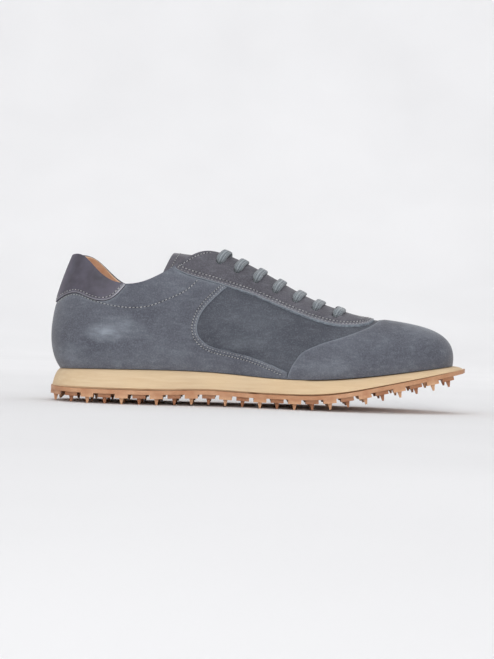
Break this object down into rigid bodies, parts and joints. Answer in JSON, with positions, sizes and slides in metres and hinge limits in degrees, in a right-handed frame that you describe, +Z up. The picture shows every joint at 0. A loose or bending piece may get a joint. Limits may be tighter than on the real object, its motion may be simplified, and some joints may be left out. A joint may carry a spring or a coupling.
{
  "type": "sneaker",
  "caption": "Low lace-up sneaker for the left foot: grey nubuck upper with sewn panels, tan flared midsole and a gum rubber outsole with studs.",
  "frame": {"origin": "Middle of the bounding box in plan, on the floor under the studs.", "axes": "+X points to the toe, +Y to the outer (lateral) side of this left shoe, +Z up."},
  "size_m": [0.2982, 0.1042, 0.1116],
  "materials": {
    "gum_rubber": "matte gum rubber",
    "midsole_foam": "matte foam rubber",
    "tan_leather": "satin leather",
    "nubuck": "brushed nubuck",
    "smooth_leather": "smooth satin leather",
    "lace_cotton": "woven flat lace"
  },
  "bodies": {
    "root": {"outsole": "gum_rubber", "midsole": "midsole_foam", "insole": "tan_leather", "upper": "nubuck", "quarter": "nubuck", "toe_panel": "nubuck", "eyestay": "nubuck", "heel_tab": "smooth_leather", "tongue": "nubuck", "laces": "lace_cotton", "lace_end": "lace_cotton"}
  },
  "joints": []
}
